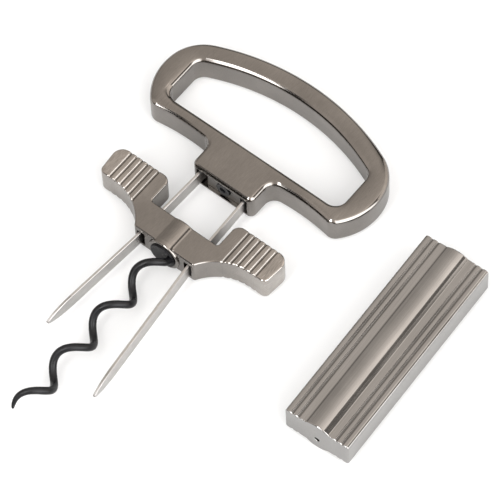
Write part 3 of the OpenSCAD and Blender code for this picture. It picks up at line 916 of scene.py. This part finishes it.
def carriage_face(s, outline, normals, grid, depth, r_edge):
    """One face over the outline and the grid inside it: (x, y) and height of its points, its
    triangles, and the outline's own points in it."""
    margin, inside_only, merge = 0.00012, 1, 1e-8
    edge_angles = (0, 12, 24, 36, 48, 60, 72, 90)
    shares = [1 - math.cos(math.radians(a)) for a in edge_angles]
    count = len(outline)
    keep = depth > r_edge + margin
    flat = np.concatenate([outline - normals * r_edge * k for k in shares] + [grid[keep]])
    depths = np.concatenate([np.full(count, r_edge * k) for k in shares] + [depth[keep]])
    rim = [(i, (i + 1) % count) for i in range(count)]
    out = delaunay_2d_cdt([Vector(p) for p in flat], rim, [], inside_only, merge)
    points, triangles, sources = out[0], out[2], out[3]
    xy = np.array([tuple(p) for p in points])
    deep = np.array([depths[origins[0]] if origins else r_edge for origins in sources])
    new_place = {origin: i for i, origins in enumerate(sources) for origin in origins}
    heights = carriage_height(s, xy[:, 0], r_edge, deep)
    return xy, heights, triangles, [new_place[i] for i in range(count)]


def make_carriage(s, name, mid):
    """Two faces of one outline joined by a wall, with the barrel added and the slots and bore cut."""
    row_step, hub_gap, barrel_bite, rib_foot = 0.00045, 0.00005, 0.0012, 0.01
    half_points, half_normals = carriage_path(s)
    outline = whole_loop(half_points)
    normals = whole_loop(half_normals)
    grid = np.meshgrid(carriage_columns(s), np.arange(s.near_y, s.wing_far_y, row_step))
    grid = np.c_[grid[0].ravel(), grid[1].ravel()]
    depth = depth_inside(grid, outline)
    vertices, faces, rims = [], [], []
    for sign, r_edge in ((1, s.top_edge), (-1, s.low_edge)):
        xy, heights, triangles, rim = carriage_face(s, outline, normals, grid, depth, r_edge)
        first = len(vertices)
        vertices += [(x, y, mid + sign * h) for (x, y), h in zip(xy, heights)]
        faces += [tuple(first + i for i in triangle[::sign]) for triangle in triangles]
        rims.append([first + i for i in rim])
    top, low = rims
    for i in range(len(outline)):
        j = (i + 1) % len(outline)
        faces.append((top[i], low[i], low[j], top[j]))
    piece = new_piece(name, vertices, faces, sharp=50)
    rim = [(s.barrel_r - d, s.barrel_y + rise) for d, rise in edge_steps(s.barrel_edge, 7)]
    barrel = turned(rim + [(s.barrel_r, s.near_y + barrel_bite)], 0, mid, sides=128)
    combine(piece, barrel, "UNION")
    for side in (-1, 1):
        x = sorted((side * s.slot_in, side * s.slot_out))
        combine(piece, block((x[0], s.near_y - CUTTER_MARGIN, mid - s.slot_h / 2),
                             (x[1], s.far_y + CUTTER_MARGIN, mid + s.slot_h / 2)), "DIFFERENCE")
    r = s.hub_r + hub_gap
    bore = [(r, s.barrel_y - CUTTER_MARGIN), (r, s.barrel_y + s.hub_len)]
    combine(piece, turned(bore, 0, mid, sides=128), "DIFFERENCE")
    tidy_mesh(piece, sharp=45)
    finish_surface(piece)
    clear_hollows(piece, rib_foot)
    return piece


# Worm

def worm_tree():
    """Geometry nodes that draw the helix, give the wire its taper and skin it."""
    easing = 1.6  # radii of the wire over which it bends from straight into the helix
    tree = bpy.data.node_groups.new("Worm", "GeometryNodeTree")
    for label in ("Radius", "Wire radius", "Pitch", "Reach", "Root", "Start", "Point", "Tip radius",
                  "Hub end", "Height"):
        tree.interface.new_socket(label, in_out="INPUT", socket_type="NodeSocketFloat")
    for label in ("Steps", "Sides"):
        tree.interface.new_socket(label, in_out="INPUT", socket_type="NodeSocketInt")
    tree.interface.new_socket("Finish", in_out="INPUT", socket_type="NodeSocketMaterial")
    tree.interface.new_socket("Geometry", in_out="OUTPUT", socket_type="NodeSocketGeometry")
    t = Tree(tree)
    given = t.add("NodeGroupInput").outputs
    m, times = t.math, t.times
    wire = t.add("GeometryNodeCurvePrimitiveLine", {"Start": (0, 0, 0), "End": (0, -1, 0)})
    dense = t.add("GeometryNodeResampleCurve", {"Curve": wire.outputs[0], "Count": given["Steps"]})
    factor = t.add("GeometryNodeSplineParameter").outputs["Factor"]
    s = m("SUBTRACT", times(m("ADD", given["Reach"], given["Root"]), factor), given["Root"])
    lead = m("MAXIMUM", s, 0.0)
    ease = times(given["Wire radius"], easing)
    start = m("MINIMUM", lead, ease)
    run = m("ADD", m("DIVIDE", times(start, start), times(ease, 2.0)),
            m("SUBTRACT", lead, start))
    turn = m("ADD", given["Start"], times(m("DIVIDE", run, given["Pitch"]), 2 * math.pi))
    spot = t.add("ShaderNodeCombineXYZ", {
        0: times(given["Radius"], m("COSINE", turn)),
        1: m("SUBTRACT", given["Hub end"], s),
        2: m("ADD", given["Height"], times(given["Radius"], m("SINE", turn)))})
    placed = t.add("GeometryNodeSetPosition", {"Geometry": dense.outputs[0], "Position": spot.outputs[0]})
    left = m("DIVIDE", m("SUBTRACT", given["Reach"], s), given["Point"], clamp=True)
    swell = m("SQRT", times(left, m("SUBTRACT", 2.0, left)))
    radius = m("ADD", given["Tip radius"],
               times(m("SUBTRACT", given["Wire radius"], given["Tip radius"]), swell))
    ring = t.add("GeometryNodeCurvePrimitiveCircle", {"Resolution": given["Sides"], "Radius": 1.0})
    skin = t.add("GeometryNodeCurveToMesh", {"Curve": placed.outputs[0], "Profile Curve": ring.outputs[0],
                                             "Scale": radius, "Fill Caps": True})
    real = t.add("GeometryNodeRealizeInstances", {"Geometry": skin.outputs[0]})
    painted = t.add("GeometryNodeSetMaterial", {"Geometry": real.outputs[0], "Material": given["Finish"]})
    out = t.add("NodeGroupOutput")
    t.put(out.inputs["Geometry"], painted.outputs[0])
    return tree


def make_worm(s, name, finish):
    """The wire with its point, from the node tree with this object's sizes."""
    piece = in_scene(name, bpy.data.meshes.new(name))
    tree = worm_tree()
    step = piece.modifiers.new("worm", "NODES")
    step.node_group = tree
    values = {"Radius": s.centre_r, "Wire radius": s.wire / 2, "Pitch": s.pitch, "Reach": s.reach,
              "Root": s.root, "Start": s.start, "Point": s.point, "Tip radius": s.tip,
              "Hub end": s.hub_y, "Height": s.centre_z, "Steps": 420, "Sides": 32, "Finish": finish}
    for item in tree.interface.items_tree:
        if item.item_type == "SOCKET" and item.in_out == "INPUT":
            step[item.identifier] = values[item.name]
    bake(piece)
    tidy_mesh(piece, sharp=60)
    return piece


# Sheath

def sheath_section(s):
    """Closed section (x, z) of the sheath, with the outward normals that it has without grooves."""
    rib_points, side_points, groove_points, edge_points = 90, 4, 21, 10
    groove_reach, lip, groove_depth, rib_join = 1.45 * s.flute_r, 1.1, s.flute_r * 0.85, 0.0002
    half = s.width / 2
    e = s.edge
    xs = set(np.linspace(0, s.rib_r, rib_points)) | set(np.linspace(half - e, half, side_points))
    for f in (s.flute_in, s.flute_out):
        xs = {x for x in xs if abs(x - f) > groove_reach * lip}
        xs |= set(f + groove_reach * np.linspace(-lip, lip, groove_points))
    xs = np.array(sorted(x for x in xs if x <= half - e))
    plain = np.full(len(xs), s.thickness / 2)
    plain = smooth_max(plain, np.sqrt(np.maximum(s.rib_r ** 2 - xs ** 2, 0)), rib_join)
    z = plain.copy()
    for f in (s.flute_in, s.flute_out):
        z = z - groove_dip(np.abs(xs - f), groove_reach, groove_depth)
    corner = arc((half - e, s.thickness / 2 - e), e, QUARTER, 0, edge_points, 1)

    def loop_of(heights):
        quarter = np.r_[np.c_[xs, heights], corner]
        right = np.r_[quarter, quarter[::-1] * [1, -1]]
        return np.r_[right, (right * [-1, 1])[::-1][1:-1]]

    smooth = loop_of(plain)
    ahead = np.roll(smooth, -1, 0) - np.roll(smooth, 1, 0)
    normals = np.c_[-ahead[:, 1], ahead[:, 0]]
    normals /= np.hypot(*normals.T)[:, None]
    return loop_of(z), normals


def make_sheath(s, name):
    """Fluted case with a closed end, swept along Y, hollowed and turned to its place."""
    loop, normals = sheath_section(s)
    stations = edge_steps(s.end_edge, 6)
    places = stations + [(d, s.reach - y) for d, y in stations[::-1]]
    rings = [np.c_[(loop - normals * d), np.full(len(loop), y)][:, [0, 2, 1]] for d, y in places]
    piece = new_piece(name, np.concatenate(rings), tube_faces(len(rings), len(loop)), sharp=50)
    mouth = s.reach + CUTTER_MARGIN
    combine(piece, block((-s.cavity_w / 2, s.end, -s.cavity_h / 2),
                         (s.cavity_w / 2, mouth, s.cavity_h / 2)), "DIFFERENCE")
    combine(piece, turned([(s.cavity_r, s.end), (s.cavity_r, mouth)], 0, 0), "DIFFERENCE")
    hole = [(s.hole_r, -CUTTER_MARGIN)]
    for a in np.radians(np.linspace(90, 0, 6)):
        hole.append((s.hole_r - s.hole_rim * math.cos(a), s.hole_rim * (1 - math.sin(a))))
    hole.append((s.hole_r - s.hole_rim, s.end + CUTTER_MARGIN))
    combine(piece, turned(hole, 0, -s.hole_drop, sides=48), "DIFFERENCE")
    tidy_mesh(piece, sharp=45)
    finish_surface(piece)
    clear_hollows(piece, s.flute_in - 2 * s.flute_r)
    piece.data.transform(Matrix.Translation(s.place) @ Matrix.Rotation(s.turn, 4, "Z"))
    return piece


# Stage

def make_floor(z, colour):
    """Pale floor that looks a little brighter to the camera than the light on it makes it."""
    size, lift = 6.0, 0.3
    mesh = bpy.data.meshes.new("floor")
    corners = [(-size, -size, z), (size, -size, z), (size, size, z), (-size, size, z)]
    mesh.from_pydata(corners, [], [(0, 1, 2, 3)])
    floor = in_scene("floor", mesh)
    material, t, surface = new_finish("White floor")
    paint = t.add("ShaderNodeBsdfDiffuse", {"Color": tuple(colour)})
    seen = t.add("ShaderNodeLightPath").outputs["Is Camera Ray"]
    glow = t.add("ShaderNodeEmission", {"Color": WHITE, "Strength": t.times(seen, lift)})
    both = t.add("ShaderNodeAddShader", {0: paint.outputs[0], 1: glow.outputs[0]})
    t.put(surface, both.outputs[0])
    mesh.materials.append(material)


def sky_group(right, toward):
    """Brightness of the studio by direction, in zones with soft edges. A direction is x degrees
    from straight up to the camera's right and y degrees toward the camera, and tilt is its whole
    angle from straight up. A pair of angles is the start and the end of a soft edge."""
    levels = {"Left level": 0.73, "Right level": 1.5, "Panel": 7.0, "Glow": 2.6, "Far fade": 0.45,
              "Corner shade": 0.75, "Back shade": 0.3, "Band level": 0.22, "Stripe shade": 0.93,
              "Front shade": 0.95}
    t, given, result = shader_group(
        "Studio light",
        [("Direction", "NodeSocketVector", None)]
        + [(label, "NodeSocketFloat", value) for label, value in levels.items()], ["Level"])
    m, times = t.math, t.times

    def part(axis):
        return t.add("ShaderNodeVectorMath", {0: given["Direction"], 1: axis},
                     operation="DOT_PRODUCT").outputs["Value"]

    def rises(value, edge):
        return t.remap(value, edge, soft=True)

    def falls(value, edge):
        return t.rest(rises(value, edge))

    def blend(a, b, share):
        return m("ADD", a, times(m("SUBTRACT", b, a), share))

    def shaded(level, zone, share):
        return times(level, t.rest(times(zone, share)))

    up = part((0, 0, 1))
    tilt = times(m("ARCCOSINE", up), 180 / math.pi)
    never_zero = 0.001
    flat = m("MAXIMUM", m("SQRT", t.rest(times(up, up))), never_zero)
    x = m("DIVIDE", times(part(right), tilt), flat)
    y = m("DIVIDE", times(part(toward), tilt), flat)
    left, back = times(x, -1.0), times(y, -1.0)

    # The plain sky, darker on the left and behind
    side_x, far_y = (-10, 35), (10, 45)
    right_level = m("SUBTRACT", given["Right level"], times(rises(back, far_y), given["Far fade"]))
    level = blend(given["Left level"], right_level, rises(x, side_x))

    # A broad glow in front on the right
    glow_x, glow_y = (-2, 16), (10, 30)
    glow = times(rises(x, glow_x), rises(y, glow_y))
    level = m("ADD", level, times(glow, given["Glow"]))

    # A dark corner low on the left and another one behind
    low_tilt, low_side, low_slant = (78, 90), (-30, 10), 0.6
    low = times(rises(tilt, low_tilt), falls(m("ADD", x, times(y, low_slant)), low_side))
    behind_y, behind_left, behind_right = (50, 62), (-16, 0), (40, 60)
    behind = times(rises(back, behind_y), times(rises(x, behind_left), falls(x, behind_right)))
    level = shaded(level, m("MAXIMUM", low, behind), given["Corner shade"])

    # A dimmer stretch behind on the left
    back_left, back_far = (-4, 34), (26, 34)
    level = shaded(level, times(rises(left, back_left), rises(back, back_far)), given["Back shade"])

    # A dark band on the right, wider toward the camera, which the flank of the sheath's rib mirrors
    band_left, band_right, band_back, band_front = (32.5, 34), (-1, 1), (-9, -6), (12, 17)
    band_x, band_y, band_slant = 47.0, 1.5, 2.2
    limit = m("ADD", band_x, times(m("MAXIMUM", m("SUBTRACT", y, band_y), 0.0), band_slant))
    band = times(times(rises(x, band_left), falls(m("SUBTRACT", x, limit), band_right)),
                 times(rises(y, band_back), falls(y, band_front)))
    level = blend(level, given["Band level"], band)

    # A dark diagonal stripe behind the panel
    diagonal = m("ADD", x, y)
    beyond = times(diagonal, -1.0)
    stripe_near, stripe_far, stripe_tilt = (12, 15), (24, 30), (28, 45)
    stripe = times(times(rises(beyond, stripe_near), falls(beyond, stripe_far)), rises(tilt, stripe_tilt))
    level = shaded(level, stripe, given["Stripe shade"])

    # The tall bright panel on the left
    panel_back, panel_right, panel_tilt, panel_x, panel_slant = (-15, -11), (0, 4), (9, 15), -8.0, 0.36
    bound = m("SUBTRACT", panel_x, times(y, panel_slant))
    panel = times(times(rises(diagonal, panel_back), rises(m("SUBTRACT", bound, x), panel_right)),
                  rises(tilt, panel_tilt))
    level = blend(level, given["Panel"], panel)

    # The dark front below the camera
    front_tilt, front_y, front_x = (66, 73), (5, 20), (0, 25)
    front = times(times(rises(tilt, front_tilt), rises(y, front_y)), falls(x, front_x))
    t.put(result["Level"], shaded(level, front, given["Front shade"]))
    return t.tree


def make_sky(s):
    """The studio as a world: white to the camera, and tinted in the metal where it isn't bright."""
    tinted_levels = (1.4, 3.0)
    world = bpy.data.worlds.new("Studio")
    bpy.context.scene.world = world
    world.use_nodes = True
    world.node_tree.nodes.clear()
    t = Tree(world.node_tree)
    side = Euler(s.camera_turn, "XYZ").to_matrix() @ Vector((1, 0, 0))
    side = Vector((side.x, side.y, 0)).normalized()
    toward = Vector((side.y, -side.x, 0))
    seen = t.add("ShaderNodeLightPath").outputs
    direction = t.add("ShaderNodeTexCoord").outputs["Generated"]
    level = t.add("ShaderNodeGroup", {"Direction": direction},
                  node_tree=sky_group(tuple(side), tuple(toward))).outputs["Level"]
    share = t.times(seen["Is Glossy Ray"], t.remap(level, tinted_levels, (1.0, 0.0)))
    tint = t.add("ShaderNodeMix", {0: share, 6: WHITE, 7: tuple(s.sky_colour)}, data_type="RGBA")
    light = t.add("ShaderNodeBackground", {"Color": tint.outputs[2], "Strength": t.times(level, s.sky)})
    white = t.add("ShaderNodeBackground", {"Color": WHITE, "Strength": 1.0})
    mix = t.add("ShaderNodeMixShader", {0: seen["Is Camera Ray"], 1: light.outputs[0],
                                        2: white.outputs[0]})
    t.put(t.add("ShaderNodeOutputWorld").inputs["Surface"], mix.outputs[0])


def make_camera(s):
    """The camera of the photograph."""
    data = bpy.data.cameras.new("camera")
    data.sensor_width = 36
    data.lens = s.camera_lens
    data.clip_start, data.clip_end = 0.1, 50
    camera = in_scene("camera", data)
    camera.location = s.camera_place
    camera.rotation_euler = Euler(s.camera_turn, "XYZ")
    bpy.context.scene.camera = camera


# Operators and panel

CASTING_FINISH = {"roughness": 0.12, "streaks": 0.4, "stretch": (1.0, 0.15, 1.0),
                  "tint": 0.15, "rough_range": 0.015, "bump": 0.003}


class CORK_OT_handle(bpy.types.Operator):
    """Build the ring handle with its boss"""
    bl_idname = "cork.handle"
    bl_label = "Handle"

    def execute(self, context):
        scene = context.scene
        finish = metal("Gunmetal plating", scene.cork_finishes.casting, **CASTING_FINISH)
        piece = make_handle(scene.cork_handle, "handle_casting")
        settle(piece, "puller", "handle", finish)
        return {"FINISHED"}


class CORK_OT_clamp(bpy.types.Operator):
    """Build the clamp plate and its screw"""
    bl_idname = "cork.clamp"
    bl_label = "Clamp plate and screw"

    def execute(self, context):
        colours = context.scene.cork_finishes
        steel = metal("Dull clamp steel", colours.clamp, roughness=0.38, streaks=0.6,
                      stretch=(0.1, 1.0, 1.0))
        edged_copy("clamp_plate", "puller", 0.0002, steel)
        black = black_coat("Black screw", colours.black, roughness=0.3)
        edged_copy("clamp_screw", "puller", 0.00015, black)
        return {"FINISHED"}


class CORK_OT_prongs(bpy.types.Operator):
    """Build the short and the long prong"""
    bl_idname = "cork.prongs"
    bl_label = "Prongs"

    def execute(self, context):
        scene = context.scene
        s, h = scene.cork_prongs, scene.cork_handle
        finish = metal("Ground spring steel", scene.cork_finishes.blade, roughness=0.3, streaks=0.5,
                       stretch=(1.0, 0.5, 1.0), scale=900.0, tint=0.14, rubbed=-0.3)
        for name, node, side, reach, splay in (
                ("short_prong_blade", "prong_short", -1, s.short_reach, s.short_splay),
                ("long_prong_blade", "prong_long", 1, s.long_reach, s.long_splay)):
            piece = make_prong(s, name, side, reach, splay, h.boss_end, h.channel_depth, h.thickness / 2)
            settle(piece, "puller", node, finish)
        return {"FINISHED"}


class CORK_OT_carriage(bpy.types.Operator):
    """Build the winged carriage with its barrel"""
    bl_idname = "cork.carriage"
    bl_label = "Carriage"

    def execute(self, context):
        scene = context.scene
        finish = metal("Rubbed gunmetal plating", scene.cork_finishes.casting, touched=(0.014, 0.04),
                       **CASTING_FINISH)
        piece = make_carriage(scene.cork_carriage, "carriage_casting", scene.cork_handle.thickness / 2)
        settle(piece, "slider", "carriage", finish)
        return {"FINISHED"}


class CORK_OT_worm(bpy.types.Operator):
    """Build the worm and the hub that holds it"""
    bl_idname = "cork.worm"
    bl_label = "Worm and hub"

    def execute(self, context):
        colours = context.scene.cork_finishes
        finish = black_coat("Black worm coating", colours.black, roughness=0.32)
        piece = make_worm(context.scene.cork_worm, "worm_wire", finish)
        settle(piece, "slider", "worm", finish)
        black = black_coat("Black hub", colours.black, roughness=0.3, shine=0.18)
        edged_copy("worm_hub", "slider", 0.0003, black)
        return {"FINISHED"}


class CORK_OT_sheath(bpy.types.Operator):
    """Build the fluted sheath"""
    bl_idname = "cork.sheath"
    bl_label = "Sheath"

    def execute(self, context):
        scene = context.scene
        s = scene.cork_sheath
        finish = metal("Light gunmetal plating", scene.cork_finishes.sheath, roughness=0.1, streaks=0.7,
                       stretch=(1.0, 0.02, 1.0), turn=s.turn, tint=0.09)
        settle(make_sheath(s, "sheath_case"), "puller", "sheath", finish)
        return {"FINISHED"}


class CORK_OT_stage(bpy.types.Operator):
    """Set the floor, the light and the camera"""
    bl_idname = "cork.stage"
    bl_label = "Stage"

    def execute(self, context):
        scene = context.scene
        s = scene.cork_studio
        make_floor(s.floor_z, scene.cork_finishes.floor)
        make_sky(s)
        make_camera(s)
        scene.view_settings.view_transform = "Standard"
        return {"FINISHED"}


class CORK_PT_panel(bpy.types.Panel):
    bl_label = "Cork puller"
    bl_idname = "CORK_PT_panel"
    bl_space_type = "VIEW_3D"
    bl_region_type = "UI"
    bl_category = "Cork puller"

    def draw(self, context):
        for operator in OPERATORS:
            self.layout.operator(operator.bl_idname)


OPERATORS = (CORK_OT_handle, CORK_OT_clamp, CORK_OT_prongs, CORK_OT_carriage, CORK_OT_worm,
             CORK_OT_sheath, CORK_OT_stage)
GROUPS = {"cork_handle": CorkHandleSizes, "cork_prongs": CorkProngSizes,
          "cork_carriage": CorkCarriageSizes, "cork_worm": CorkWormSizes,
          "cork_sheath": CorkSheathSizes, "cork_finishes": CorkFinishes, "cork_studio": CorkStudio}


def register():
    for cls in (*GROUPS.values(), *OPERATORS, CORK_PT_panel):
        bpy.utils.register_class(cls)
    for name, cls in GROUPS.items():
        setattr(bpy.types.Scene, name, PointerProperty(type=cls))


def unregister():
    for name in GROUPS:
        delattr(bpy.types.Scene, name)
    for cls in reversed((*GROUPS.values(), *OPERATORS, CORK_PT_panel)):
        bpy.utils.unregister_class(cls)


def main():
    register()
    for operator in OPERATORS:
        group, name = operator.bl_idname.split(".")
        getattr(getattr(bpy.ops, group), name)()


if __name__ == "__main__":
    main()
